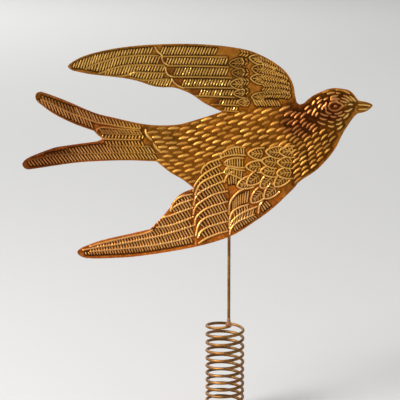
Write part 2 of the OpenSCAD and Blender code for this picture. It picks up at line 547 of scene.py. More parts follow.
slats(line_2, [(-128, 33), (-122, 31.2), *line_3[1:]], -124, -63, 2.8, 0.42, 1.3)
slats(line_3[3:], line_4, -94, -64, 2.8, 0.45, 0.9)
slats(line_4[1:], [(-84, 24.2), (-76, 21.6), (-68, 20.2), (-56, 20)], -79, -57, 2.7, 0.5, 0.9)
ridge((-97, 31.5), (-96, 33.2), (-92, 34.6))
ridge((-72.5, 59.5), (-70, 55), (-66, 51.5), (-66, 48), (-64, 44), (-60, 41.5))
ridge((-62.5, 39.5), (-62, 35), (-59.5, 31.5), (-55, 30))
ridge((-56.5, 27.5), (-54, 24), (-50, 21), (-45, 19))

# Upper wing, inner half
rim_b = [(-62, 60.3), (-46, 60.5), (-28, 59.8), (-12, 58.8)]
rows = [
    (rim_b, 51.8, -66, -13, (-68, 50.4), (-3, 49.6)),
    ([(-70, 49.6), (0, 48.8)], 42, -61, -2, (-60, 41), (-1, 39.8)),
    ([(-70, 39.6), (0, 39)], 31, -53, -3, (-57, 30), (2, 29)),
    ([(-60, 28.2), (4, 27.4)], 20.6, -45, 0, (-46, 19.4), (3, 18.8)),
    ([(-40, 17.8), (6, 17)], 11.2, -28, 4, (-38, 11.4), (5, 9.6)),
    ([(-20, 8.2), (10, 7.6)], 2.6, -9, 8, (-18, 2.6), (9, 1.6)),
    ([(-10, 0.4), (12, 0.2)], -3.6, -4, 9, (-12, -3.4), (9, -4.4)),
]
for top, foot_z, first, last, left, right in rows:
    slats(top, [(-80, foot_z), (20, foot_z)], first, last, 2.75, 0.42, 0.6)
    middle = ((left[0] + right[0]) / 2, (left[1] + right[1]) / 2 + 0.3)
    ridge(left, middle, right, bold=0.55)
    ridge(*[(x, z - 1.5) for x, z in (left, middle, right)], kind="groove")

# Upper wing coverts: two tiers of small feathers, then rows of arrows up to the shoulder
for tip_x, tip_z, angle, length, width, bold in (
    (19, 49.5, -14, 12, 9, 0.95),
    (21.5, 38.5, -8, 12, 10, 0.7),
    (20.5, 29, -8, 12, 10, 1.0),
    (21.5, 10, 0, 12, 9, 0.85),
    (-0.5, 43.5, 0, 13, 10, 0.5),
    (2, 34.5, -6, 12, 9, 0.4),
    (0.5, 22.8, 0, 12, 10.5, 0.9),
    (4, 13.5, 0, 11, 8, 0.8),
    (8, 5, 0, 10, 7.5, 0.8),
):
    leaf((tip_x, tip_z), angle, length, width, 2.6, "barb", bold)
arrows = [
    [(19, 52.6), (14, 53.4), (11, 54)],
    [(19, 45), (12, 45)],
    [(20, 34), (13, 34.4)],
    [(20, 25.4), (12, 25)],
    [(20, 16), (13, 15.6)],
    [(21, 5), (15, 4.6)],
    [(47, 38.5), (38, 43.5), (30, 47)],
    [(54, 32), (45, 36.5), (32, 40)],
    [(57.5, 26.5), (48, 30), (32, 33)],
    [(59.5, 21), (49, 24), (33, 26.4)],
    [(60.5, 16), (50, 18.6), (33, 19.6)],
    [(61, 11), (50, 12.6), (34, 12.6)],
]
for spine in arrows:
    herringbone(spine, 2.35, 3.1, 2.1)
slats([(22, 7.4), (40, 7.4), (54, 6)], [(22, 1), (54, 1)], 25, 50, 2.6, -0.6, 0.4)

# Lower wing: rows of round-ended coverts, front of the wing to the shoulder
leaves.clear()
for tip_x, tip_z, angle in (
    (49, -44, 0),
    (47.5, -55, 0),
    (47, -66, 4),
    (45, -79, 44),
    (36, -44, -4),
    (35, -91, 46),
    (32, -53, -8),
    (31, -63.5, 0),
    (31, -80, 42),
    (22, -95, 44),
    (18.5, -46, 0),
    (17.5, -77, 36),
    (16.5, -59, 0),
    (8, -79, 20),
):
    leaf((tip_x, tip_z), angle, 15.5, 12, 2.8)

# Fan of feathers behind them
fan = [
    (
        [(-9, -48), (-5, -44), (0, -41), (8, -39), (15, -40)],
        [(-7, -49.5), (-2, -48), (7, -47), (16, -47.5)],
    ),
    ([(-5, -55), (0, -51.5), (8, -50), (14, -50.5)], [(-5, -57), (1, -58.5), (9, -60), (15, -60)]),
    ([(-3, -62), (1, -60.5), (8, -62), (15, -63)], [(-4, -66), (2, -67), (9, -70), (15, -72)]),
]
for top, foot in fan:
    ridge(*top)
    ridge(*foot)
    ladder(top, foot, 2.5, 0.6, 0.9)
ridge((-9, -48), (-8.5, -49), (-7, -49.5))
ridge((-5, -65), (-3, -61), (0, -58.5))
ridge((-5, -75), (-3, -70), (0, -66), (5, -64))
ladder([(-2, -70), (4, -66.5), (10, -68)], [(-1, -78), (5, -77), (9, -79)], 2.5, 0.0, 0.8)

# Lower wing, feathers to the right of the scalloped boundary
right_arcs = [
    [(0, -107), (0.5, -97), (4, -90), (10, -84), (17, -80.5)],
    [(0, -118), (1, -110), (4, -104), (10, -100), (19, -97)],
    [(0, -121), (3, -114), (8, -109), (15, -104.5), (28, -99)],
    [(0.5, -127), (1.5, -122), (5, -117), (12, -112.5), (25, -107)],
]
for arc in right_arcs:
    ridge(*arc)
ladder(
    [(2.6, -95), (8, -88), (16, -84), (22, -82)],
    [(3.4, -104), (10, -98.5), (21, -95)],
    2.5, 1.4, 0.9,
)
slats(right_arcs[1], right_arcs[2], 5, 19, 2.6, -0.2, 1.0)
slats(right_arcs[2], right_arcs[3], 5, 25, 2.7, 0.25, 1.3)
ladder(
    [(4, -119), (9, -115.5), (16, -111.5), (26, -107.5)],
    [(5, -125), (10, -121.5), (18, -116.5), (28, -110.5)],
    2.6, -1.4, 0.6,
)
ridge((29, -106), (30, -99), (33, -94))
ladder([(31, -99), (34, -95), (38, -92)], [(33, -106), (38, -102), (43, -98)], 2.6, -1.0, 0.7)
scallops = [(0, -70), (-1, -80), (0.5, -90), (-0.5, -98), (0.5, -108), (-0.5, -118), (0.5, -128)]
ridge(*scallops, kind="groove")

# Lower wing, middle: arcs that fan out from the scalloped boundary
arcs = [
    [(-28, -66), (-27, -62), (-24, -58), (-19, -54.5), (-12, -52), (-7, -50)],
    [(-36, -84), (-34, -78), (-30, -72), (-24, -66), (-15, -60.5), (-8, -57)],
    [(-34, -88), (-31, -80), (-27, -75), (-20, -71), (-9, -66), (-5, -65)],
    [(-35, -98), (-34, -92), (-31, -87), (-24, -82), (-9, -75), (-3, -73)],
    [(-35.5, -107), (-34, -101), (-30, -96), (-24, -92), (-15, -87), (-1.5, -83.6)],
    [(-34, -118), (-33, -111), (-28, -105), (-20, -100), (-1.5, -94)],
    [(-33, -128), (-31, -119), (-27, -113), (-20, -109), (-1.5, -103.2)],
    [(-31, -130), (-28, -124), (-20, -119), (-1.2, -113.6)],
    [(-30, -135), (-22, -130), (-12, -126), (-1, -123)],
]
for arc in arcs:
    ridge(*arc)
for upper, lower in zip(arcs, arcs[1:]):
    first = max(upper[0][0], lower[0][0]) + 4.5
    slats(upper, lower, first, min(upper[-1][0], lower[-1][0]) - 1, 2.7, -0.5, 1.25)
ridge((-36, -80), (-37, -92), (-37, -106), (-36, -122), (-34, -136), kind="groove")

# Lower wing, long outer feathers
outer = [
    [(-58, -104), (-57, -99), (-53, -93), (-47, -89), (-36.5, -86.6)],
    [(-57, -101), (-50, -97), (-44, -94.5), (-36, -91.8)],
    [(-75, -119), (-72, -114), (-66, -110), (-58, -108), (-50, -105), (-36, -100.2)],
    [(-72, -119.8), (-60, -118), (-50, -115), (-35.5, -109.4)],
    [(-138, -138), (-127, -135), (-112, -131.5), (-98, -128.6), (-84, -125.6), (-76, -122.5)],
    [
        (-145, -141.5), (-130, -138.6), (-115, -136.5), (-100, -134), (-85, -131), (-70, -128),
        (-50, -122.5), (-35.5, -117.8),
    ],
    [
        (-138, -143), (-115, -141), (-100, -139.5), (-85, -138), (-70, -136), (-50, -132),
        (-35, -127.6),
    ],
]
for line in outer:
    ridge(*line)
strips = [
    ([(-56, -99), (-54, -94.5), (-46, -89.5), (-35, -86.4)], outer[1], -52, -37.5, -0.55),
    (outer[1], [(-58, -107), (-48, -104), (-35, -100)], -55, -37.5, -0.55),
    (outer[2], outer[3], -70, -37.5, -0.55),
    (
        [(-80, -123.4), *outer[3]],
        [(-80, -130.4), (-70, -128), (-50, -122.5), (-35.5, -117.8)],
        -77,
        -37.5,
        -0.55,
    ),
    (outer[4], [(-138, -140.2), (-115, -136.5), (-100, -134), (-76, -129.4)], -130, -78.5, -0.5),
    (outer[5], outer[6], -140, -37, -0.5),
    (outer[6], [(-145, -146.8), (-100, -145), (-70, -141.5), (-34, -135.2)], -142, -36, -0.4),
]
for upper, lower, first, last, slope in strips:
    slats(upper, lower, first, last, 2.7, slope, 0.9)

# Tail: two prongs with a shaft and rows of slanting bars, and a short feather between them
shaft = [
    (-185, 7.6), (-176, 4.2), (-168, 0), (-160, -4), (-150, -8), (-140, -11.6), (-130, -15.2),
    (-120, -16.8), (-108, -19), (-96, -20.6), (-88, -21.4),
]
ridge(*shaft, bold=0.7)
high_rim = [
    (-186, 12.6), (-175, 8.4), (-160, 3), (-150, -0.6), (-140, -4), (-130, -7.6), (-120, -10.4),
    (-110, -12.6), (-100, -15), (-86, -18.2),
]
slats(high_rim, shaft, -183, -150, 3.2, -0.45, 0.6, bold=0.75)
slats(high_rim, shaft, -148.5, -88, 3.2, -0.6, 0.5)
slats(
    shaft,
    [(-190, 5.6), (-183, 1.2), (-165, -8.6), (-145, -17), (-132, -22.6)],
    -187, -133, 3.2, -0.5, 0.8,
)
short_rim = [
    (-88, -23), (-110, -21.4), (-125, -20), (-130.4, -22.5), (-130, -27), (-125, -31), (-110, -32),
    (-88, -32),
]
ridge(*short_rim, bold=0.6)
ridge((-127, -25.6), (-110, -26.6), (-86, -27), bold=0.35)
slats(
    [(-130, -21.4), (-105, -22.6), (-84, -24)],
    [(-130, -25.6), (-84, -26.6)],
    -126, -87, 3.0, -1.0, 0.3, bold=0.85,
)
slats([(-130, -27.2), (-84, -27.8)], [(-130, -30.6), (-84, -31.4)], -125, -84, 3.3, 0.35, 0.2)
slats([(-124, -33.4), (-80, -33.6)], [(-124, -38), (-80, -38)], -121, -83, 3.2, -0.5, 0.3)
slats(
    [(-164, -42), (-150, -39.6), (-135, -37.6), (-124, -37), (-114, -39), (-70, -39.4)],
    [(-164, -46.6), (-140, -46), (-70, -45.6)],
    -156, -74, 3.1, -0.65, 0.4,
)
slats(
    [(-184, -47), (-160, -42)], [(-184, -50), (-160, -46.6)],
    -180, -160, 3.2, -0.8, 0.3, bold=0.45,
)
low_line = [(-199, -53.6), (-185, -50.4), (-172, -48.2), (-150, -46.8), (-110, -46), (-70, -46)]
ridge(*[(x, z + 0.4) for x, z in low_line], bold=0.3)
slats(
    low_line,
    [(-199, -59.6), (-185, -58), (-170, -56.4), (-150, -54.2), (-120, -52.4), (-70, -52)],
    -197, -72, 3.1, -0.7, 0.7,
)
ridge((-118, -38.4), (-98, -38.6), (-78, -38.6), bold=0.4)
for hook in (
    [(-82.4, -22), (-81.4, -26.4), (-76.6, -32.4)],
    [(-74.6, -36), (-71.8, -40), (-67, -45)],
):
    ridge(*hook, kind="dash", bold=0.9)

# Head
ridge((111.5, 1.4), (108.5, 4.2), (104, 5.6), (99.6, 4.6), (97, 1.4), bold=0.95)
ridge((97, 1.4), (98.6, -1.8), (102.5, -3.2), (107, -2.2), (111.5, 1.4), bold=0.8)
ridge((111.5, 1.4), (114.5, 2.6), bold=0.6)
stroke("dash", (102.6, 1.2), (104.2, 1.3), (105.4, 1.2), bold=0.9)
for turn in range(0, 360, 30):
    across, up = math.cos(math.radians(turn)), math.sin(math.radians(turn))
    stroke(
        "groove",
        (104 + 3.5 * across, 1.2 + 2.6 * up),
        (104 + 3.9 * across, 1.2 + 2.9 * up),
        bold=0.8,
    )
ridge((127, 2.4), (133, 2.2), (138, 1.2))
ridge((127, -2.2), (133, -2.0), (137, -1.4))
ridge((126.5, 0.2), (131, 0.2), (136.5, 0.2), kind="groove")
head_lines = [
    [(85.5, 7.2), (88.8, 10.2)],
    [(81, 2), (83.8, 6.6)],
    [(92.4, 7), (96.4, 9.4)],
    [(86, 3.6), (90.6, 7.6)],
    [(86.8, -0.8), (90.4, 3.6)],
    [(90, -2.4), (94, 3)],
    [(74, -2.8), (78, 1.2)],
    [(76.4, -6), (80.4, -2.4)],
    [(81, -8), (83, -4.6), (84.8, -0.8)],
    [(84.4, -9.2), (87, -4.6)],
    [(96, 13), (99.5, 14.2), (103, 14.5)],
    [(104, 17), (109, 17), (113, 16), (118, 13)],
    [(112, 11.5), (115, 10.5), (118, 8), (120.5, 6)],
    [(99, 9.5), (102, 11), (106, 11.5)],
    [(89.5, -6), (93, -7.6), (97, -8.2)],
    [(88.5, -10.2), (92, -11.6), (95.5, -12)],
    [(86.5, -14), (90, -15.8), (94, -17)],
    [(107, 3.6), (104, 7.4), (99.5, 7)],
    [(94.4, -3.4), (96.4, -5.4), (100, -6.2)],
    [(110, 9.2), (114, 8), (117.4, 5.2)],
    [(118, 11), (121.4, 8), (124, 5.4)],
    [(97, -13.5), (99.5, -14.5), (102, -14.5)],
    [(97, -18), (100, -19), (103, -18.6)],
    [(99, -8.5), (102, -9.4), (105, -9)],
    [(105, -12.5), (107.5, -12.2), (110, -11)],
    [(105, -17), (108, -16.4), (110.5, -14.5)],
    [(112, -11), (115, -9), (117, -6)],
    [(113, -4), (117, -3.4), (120, -1.4)],
    [(116, 2.6), (118.5, 3), (121, 2.4)],
    [(95, 5), (94, 1), (95, -3)],
    [(99, 8), (103, 9), (108, 8)],
    [(109, 6.5), (112.5, 5.5), (115.5, 4.6)],
    [(110.5, -4), (107, -6), (103, -6.2)],
    [(107, -8.6), (110.5, -8), (113, -6.6)],
    [(106, -22), (109, -20.4), (111, -18)],
    [(98, 16.6), (94, 15.4), (90.5, 14.2)],
    [(108, 13.6), (104.5, 14)],
]
for line in head_lines:
    ridge(*line, kind="quill")

# Body: staggered dashes that follow the way the plumage lies
plumage_area = [
    (-73, -21), (-58, -20.5), (-46, -19), (-26, -13), (-8, -7.5), (8, -6.5), (30, -2.5),
    (60, -1), (68, -1), (73, -6), (79, -9), (83, -13), (87, -20), (96, -23), (105, -25),
    (101, -40), (87, -57), (73, -69), (67.5, -74), (66, -62), (65.5, -46), (54, -38), (36, -37.5),
    (15, -37), (4, -38), (-4, -42), (-11, -47), (-20, -52), (-26, -57), (-30, -66), (-36, -77),
    (-46, -69), (-58, -62), (-69, -53), (-64, -46), (-66, -39), (-71, -32), (-76, -25),
]
lie_samples = [
    (-60, -30, 3), (-60, -50, 6), (-30, -20, 18), (-30, -62, 22), (-45, -60, 16), (-20, -35, 22),
    (0, -15, 18), (0, -30, 20), (30, -10, 24), (30, -30, 22), (50, -20, 22), (50, -8, 20),
    (65, -10, 46), (65, -35, 42), (70, -60, 40), (80, -20, 47), (90, -35, 42), (100, -30, 45),
    (66, -72, 42),
]


def inside(point, polygon):
    x, z = point
    within = False
    for (x0, z0), (x1, z1) in zip(polygon, polygon[1:] + polygon[:1]):
        if (z0 > z) != (z1 > z) and x < x0 + (z - z0) * (x1 - x0) / (z1 - z0):
            within = not within
    return within


def lie(point):
    """Direction the plumage lies in at a point, in radians."""
    total, weight_sum = 0.0, 0.0
    for x, z, degrees in lie_samples:
        weight = 1 / ((point[0] - x) ** 2 + (point[1] - z) ** 2 + 30) ** 1.5
        total += degrees * weight
        weight_sum += weight
    return math.radians(total / weight_sum)


# The left and top of the plumage, its size, and the steps at which places are tried
PLUMAGE_LEFT, PLUMAGE_TOP = -80, 4
PLUMAGE_WIDE, PLUMAGE_HIGH = 190, 82
TRY_ACROSS, TRY_DOWN = 0.9, 0.8
# Where the strokes turn from the body's dashes to the neck's finer quills
FINE_FROM, FINE_OVER = 52, 14
# Room along and across a stroke, half its shortest and longest length, and its bow
DASH_ROOM = (11.4, 4.9)
QUILL_ROOM = (9.8, 3.65)
DASH_HALF = (4.0, 5.4)
QUILL_SHORTER = 0.7
BOW = 0.4


def lay_plumage():
    laid = []
    for column in range(int(PLUMAGE_WIDE / TRY_ACROSS)):
        x = PLUMAGE_LEFT + TRY_ACROSS * column
        for row in range(int(PLUMAGE_HIGH / TRY_DOWN)):
            point = np.array([x, PLUMAGE_TOP - TRY_DOWN * row]) + jitter(0.4)
            if not inside(point, plumage_area):
                continue
            turn = lie(point)
            ahead = np.array([math.cos(turn), math.sin(turn)])
            side = np.array([-ahead[1], ahead[0]])
            fine = min(1, max(0, (point[0] - FINE_FROM) / FINE_OVER))
            room = [a + (b - a) * fine for a, b in zip(DASH_ROOM, QUILL_ROOM)]
            offsets = np.array(laid).reshape(-1, 2) - point
            gaps = (offsets @ ahead / room[0]) ** 2 + (offsets @ side / room[1]) ** 2
            if np.any(gaps < 1):
                continue
            laid.append(point)
            reach = ahead * (chance.uniform(*DASH_HALF) - QUILL_SHORTER * fine)
            bold = chance.uniform(0.4 + 0.2 * fine, 1.0)
            kind = "dash" if fine < 0.5 else "quill"
            stroke(kind, point - reach, point + side * BOW, point + reach, bold=bold)


lay_plumage()

# ---------------------------------------------------------------- the swallow's sheet

FRONT_MESH = 0.75
BACK_MESH = 1.4


def sheet_outline():
    """The edge of the CAD sheet's front, counter-clockwise, in the pattern's millimetres."""
    shape = bmesh.new()
    shape.from_mesh(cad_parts["swallow_sheet"].data)
    bmesh.ops.remove_doubles(shape, verts=shape.verts, dist=0.01 * MM)
    shape.verts.index_update()
    shape.normal_update()
    follows = {}
    for face in shape.faces:
        if face.normal.y > -0.5:
            continue
        for loop in face.loops:
            fronts = [f for f in loop.edge.link_faces if f.normal.y < -0.5]
            if len(fronts) == 1:
                follows[loop.vert.index] = loop.link_loop_next.vert.index
    shape.verts.ensure_lookup_table()
    start = min(follows)
    chain = [start]
    while follows[chain[-1]] != start:
        chain.append(follows[chain[-1]])
    corners = [
        ((shape.verts[i].co.x - PIVOT_X) / MM, (shape.verts[i].co.z - BEAK_Z) / MM) for i in chain
    ]
    shape.free()
    fine = []
    for one, other in zip(corners, corners[1:] + corners[:1]):
        length = math.dist(one, other)
        pieces = max(1, math.ceil(length / FRONT_MESH))
        for i in range(pieces):
            share = i / pieces
            fine.append(tuple(a + share * (b - a) for a, b in zip(one, other)))
    return fine


def distance_from(edge):
    """A function that gives how far a point is from the nearest of the edge's points."""
    tree = kdtree.KDTree(len(edge))
    for i, point in enumerate(edge):
        tree.insert((*point, 0), i)
    tree.balance()
    return lambda x, z: tree.find((x, z, 0))[2]


# Rows of inner points are raised a hair, so that none passes through a corner
ROW_LIFT = 0.0137
# Least distance from an inner point to the edge's points, in spacings
EDGE_CLEAR = 0.55


def fill_outline(edge, spacing):
    """Points and counter-clockwise triangles that fill the edge; the edge's points come first."""
    from_edge = distance_from(edge)
    ring = np.array(edge)
    after = np.roll(ring, -1, axis=0)
    points = [Vector(p) for p in edge]
    row_height = spacing * math.sqrt(3) / 2
    low, high = ring[:, 1].min(), ring[:, 1].max()
    for row in range(1, int((high - low) / row_height)):
        z = low + row * row_height + ROW_LIFT
        crossing = (ring[:, 1] > z) != (after[:, 1] > z)
        one, other = ring[crossing], after[crossing]
        cuts = one[:, 0] + (z - one[:, 1]) * (other[:, 0] - one[:, 0]) / (other[:, 1] - one[:, 1])
        cuts = np.sort(cuts)
        shift = 0.5 * spacing * (row % 2)
        for left, right in zip(cuts[::2], cuts[1::2]):
            first = math.ceil((left - shift) / spacing)
            for column in range(first, int((right - shift) // spacing) + 1):
                x = column * spacing + shift
                if from_edge(x, z) > EDGE_CLEAR * spacing:
                    points.append(Vector((x, z)))
    count = len(edge)
    loop = [(i, (i + 1) % count) for i in range(count)]
    out, _, faces, origins, _, _ = delaunay_2d_cdt(points, loop, [], 1, 1e-6)
    place = {}
    for new, olds in enumerate(origins):
        for old in olds:
            place[old] = new
    order = [place[i] for i in range(count)]
    rest = sorted(set(range(len(out))) - set(order))
    new_index = {old: new for new, old in enumerate(order + rest)}
    flat = np.array([tuple(out[i]) for i in order + rest])
    triangles = np.array([[new_index[i] for i in face] for face in faces])
    a, b, c = flat[triangles[:, 0]], flat[triangles[:, 1]], flat[triangles[:, 2]]
    area = (b[:, 0] - a[:, 0]) * (c[:, 1] - a[:, 1]) - (b[:, 1] - a[:, 1]) * (c[:, 0] - a[:, 0])
    triangles[area < 0] = triangles[area < 0][:, ::-1]
    return flat, triangles


def ease(value, low, high):
    share = np.clip((value - low) / (high - low), 0, 1)
    return share * share * (3 - 2 * share)


def distance_to_path(x, z, path):
    best = np.full(len(x), 1e9)
    for (x0, z0), (x1, z1) in zip(path, path[1:]):
        dx, dz = x1 - x0, z1 - z0
        share = np.clip(((x - x0) * dx + (z - z0) * dz) / (dx * dx + dz * dz), 0, 1)
        best = np.minimum(best, np.hypot(x - x0 - share * dx, z - z0 - share * dz))
    return best


body_line = [(-75, -38), (-40, -42), (0, -32), (50, -26), (84, -20), (104, -1)]
BODY_HALF = 30.0
BODY_RISE = 2.4
BODY_FADE = 14
# Half the width of the flat seat behind the tube, and the width over which it fades
SEAT_HALF = 4.2
SEAT_FADE = 7
# How much of the front's relief shows on the back, and the edge's flat and easing widths
BACK_SHARE = 0.9
FLAT_EDGE = (0.2, 1.8)
RUBBED_EDGE = (0.2, 2.4)


def forward_curve(z, thickness):
    """How far the wings curve forward at a height, in millimetres."""
    forward = np.zeros(len(z))
    for bend_r, over in ((UPPER_BEND_R, z - UPPER_BEND_Z), (LOWER_BEND_R, LOWER_BEND_Z - z)):
        over = np.maximum(over, 0)
        forward += bend_r - np.sqrt((bend_r + thickness) ** 2 - over**2) + thickness
    return forward


def body_rise(x, z, edge_distance):
    """The body's shallow crown, which fades out towards the sheet's edge."""
    near = distance_to_path(x, z, body_line)
    crown = np.clip(1 - (near / BODY_HALF) ** 2, 0, 1) ** 1.5
    return BODY_RISE * crown * ease(edge_distance, 0, BODY_FADE)


def spot(x, z, middle, reach, core):
    """1 in the core of an oval patch, easing to 0 a little past its edge."""
    away = np.hypot((x - middle[0]) / reach[0], (z - middle[1]) / reach[1])
    return 1 - ease(away, core, 1.1)


# Darker patches over the neck and head, and painted shade in the crease at the wing's root:
# middle, reach, share that is core, strength
DARK_PATCHES_AND_SHADE = [
    ((70, -12), (30, 24), 0.45, 0.95),
    ((80, 8), (16, 8), 0.4, 0.6),
    ((96, -1), (20, 17), 0.5, 0.95),
    ((104, 9), (18, 8), 0.5, 0.6),
    # Painted shade in the crease where the wing's root meets the nape
    ((63, 3), (11, 9), 0.4, 0.7),
]
# Painted shadow under the ends of the flight feathers, where they overlap
LAP_SHADOWS = ((-57, 35), (-50, 25), (-66, 46), (-34, 15), (-12, 5))
DARK_PATCHES_AND_SHADE += [(lap, (8, 4.5), 0.3, 0.7) for lap in LAP_SHADOWS]


def regional_tints(x, z):
    """How copper, olive and dark the brass is at each point; the dark share is partly the brass's
    own darker tone and partly painted shade, under the lapping flight feathers, in the crease at
    the wing's root and on the lower wing's tip.
    """
    prongs = ease(-x, 95, 135) * (z < 16) * (z > -64)
    copper = ease(-z, 62, 92) * ease(-x, -75, -30) * 0.85
    copper = np.maximum(copper, 0.85 * prongs)
    throat = ease(x + z * 0.35, 92, 104) * ease(-z, 2, 12)
    face = ease(x, 107, 118) * (1 - ease(z, 6, 12))
    olive = ease(z, -2, 12) * (1 - ease(x, 62, 70)) * (0.8 - 0.5 * ease(x, -20, 40))
    olive = np.maximum(olive, 0.7 * np.maximum(throat, face))
    olive = np.maximum(olive, 0.4 * ease(-x, 40, 60) * ease(z, -60, -52) * (z < 0) * (x > -84))
    low_prong = ease(-x, 124, 184) * ease(-z, 34, 40)
    low_edge = 0.6 * ease(-x, 80, 140) * (1 - ease(-z, 40, 47)) * (z < -33)
    high_prong = 0.6 * ease(-x, 90, 130) * (1 - ease(-z, 24, 32)) * ease(-z, -26, -20)
    shades = [strength * spot(x, z, *patch) for *patch, strength in DARK_PATCHES_AND_SHADE]
    shades += [
        0.95 * np.maximum(low_prong, low_edge),
        np.where((z < 16) & (x < -90), high_prong, 0),
        0.22 * ease(x, 50, 70) * (1 - ease(x, 98, 108)) * (z < 14),
        # Painted shade: darkens the lower wing's tip, where its forward curve catches the key
        # light
        0.45 * ease(-x, 60, 115) * ease(-z, 116, 126),
    ]
    return copper, olive, np.clip(np.maximum.reduce(shades), 0, 1)


def build_sheet_mesh():
    edge = sheet_outline()
    front, front_faces = fill_outline(edge, FRONT_MESH)
    back, back_faces = fill_outline(edge, BACK_MESH)
    flat = np.concatenate([front, back])
    x, z = flat[:, 0], flat[:, 1]
    is_front = np.arange(len(flat)) < len(front)
    edge_distance = np.array(list(map(distance_from(edge), x, z)))
    rise = body_rise(x, z, edge_distance)

    # Behind the tube the back stays flat, so that the tube lies against it
    tube_low = (TUBE_LOW_Z - BEAK_Z) / MM
    tube_high = (TUBE_HIGH_Z - BEAK_Z) / MM
    above = np.maximum(np.maximum(tube_low - z, z - tube_high), 0)
    seat = ease(np.hypot(np.maximum(np.abs(x) - SEAT_HALF, 0), above), 0, SEAT_FADE)
    follow = np.where(is_front, 1.0, BACK_SHARE * seat) * ease(edge_distance, *FLAT_EDGE)
    forward = np.where(is_front, forward_curve(z, 0), forward_curve(z, SHEET_T / MM))
    forward += rise * np.where(is_front, 1.0, seat)
    y = SHEET_FRONT_Y / MM + np.where(is_front, 0, SHEET_T / MM) - forward

    count = len(edge)
    start = len(front)
    walls = []
    for i in range(count):
        after = (i + 1) % count
        walls.append((i, start + i, start + after))
        walls.append((i, start + after, after))
    faces = np.concatenate([front_faces, back_faces[:, ::-1] + start, np.array(walls)])
    points = np.stack([PIVOT_X + x * MM, y * MM, BEAK_Z + z * MM], axis=1)
    mesh = bpy.data.meshes.new("swallow_blank")
    mesh.from_pydata(points.tolist(), [], faces.tolist())

    copper, olive, dark_tone_and_shade = regional_tints(x, z)
    carry(mesh, "copper", copper)
    carry(mesh, "olive", olive)
    carry(mesh, "dark_tone_and_shade", dark_tone_and_shade)
    carry(mesh, "front_side", is_front)
    carry(mesh, "follow", follow)
    carry(mesh, "rim", 1 - ease(edge_distance, *RUBBED_EDGE))
    return mesh


# How much the ends of each kind of stroke narrow, against its middle
STROKE_TAPER = {
    "ridge": 0.25, "bar": 0.4, "barb": 0.4, "dash": 0.6, "quill": 0.6, "groove": 0.5
}
TAPER_POWER = 0.6
STROKE_STEP = 0.7


def stroke_object(kind):
    """The strokes of one kind as loose edges, lying in the plane of the pivot's origin."""
    points, edges, full, boldness = [], [], [], []
    taper = STROKE_TAPER[kind]
    for line, bold in STROKES[kind]:
        length, at = walk(line)
        count = max(2, math.ceil(length / STROKE_STEP) + 1)
        first = len(points)
        for i in range(count):
            x, z = at(i / (count - 1))
            points.append((PIVOT_X + x * MM, 0.0, BEAK_Z + z * MM))
            middle = abs(math.sin(math.pi * i / (count - 1))) ** TAPER_POWER
            full.append(1 - taper + taper * middle)
            boldness.append(bold)
        edges += [(first + i, first + i + 1) for i in range(count - 1)]
    mesh = bpy.data.meshes.new(kind + "_strokes")
    mesh.from_pydata(points, edges, [])
    carry(mesh, "full", full)
    carry(mesh, "bold", boldness)
    return set_out(kind + "_strokes", mesh)


# Depth of the hollow round each kind of stroke, and its spread against the tree's own reach
HOLLOWS = {
    "bar": (1.0, 1.0),
    "barb": (0.95, 0.95),
    "dash": (0.5, 2.1),
    "quill": (0.75, 1.9),
    "ridge": (0.6, 1.2),
}
# The flat share of a stroke's top, and of a hollow's bottom
FLAT_TOP = 0.05
FLAT_HOLLOW = 0.55
# How dark a groove is, and how dark a stroke's underside is on the back
GROOVE_DARK = 0.9
BACK_DARK = 0.75


def carried(tree, label):
    """A number that the mesh carries at each point."""
    made = add_node(tree, "GeometryNodeInputNamedAttribute", {"Name": label}, data_type="FLOAT")
    return made.outputs["Attribute"]


def nearest_stroke(tree, strokes, place):
    """How far away the nearest stroke is, and how full and how bold it is there."""
    geometry = add_node(tree, "GeometryNodeObjectInfo", {"Object": strokes}).outputs["Geometry"]
    inputs = {0: geometry, "Sample Position": place}
    near = add_node(tree, "GeometryNodeProximity", inputs, target_element="EDGES").outputs
    inputs = {"Geometry": geometry, "Sample Position": near["Position"]}
    index = add_node(tree, "GeometryNodeSampleNearest", inputs, domain="POINT").outputs["Index"]
    picked = []
    for label in ("full", "bold"):
        kind = {"data_type": "FLOAT", "domain": "POINT"}
        pick = add_node(tree, "GeometryNodeSampleIndex", **kind)
        feed(tree, pick.inputs["Geometry"], geometry)
        feed(tree, pick.inputs["Value"], carried(tree, label))
        feed(tree, pick.inputs["Index"], index)
        picked.append(pick.outputs["Value"])
    return near["Distance"], *picked


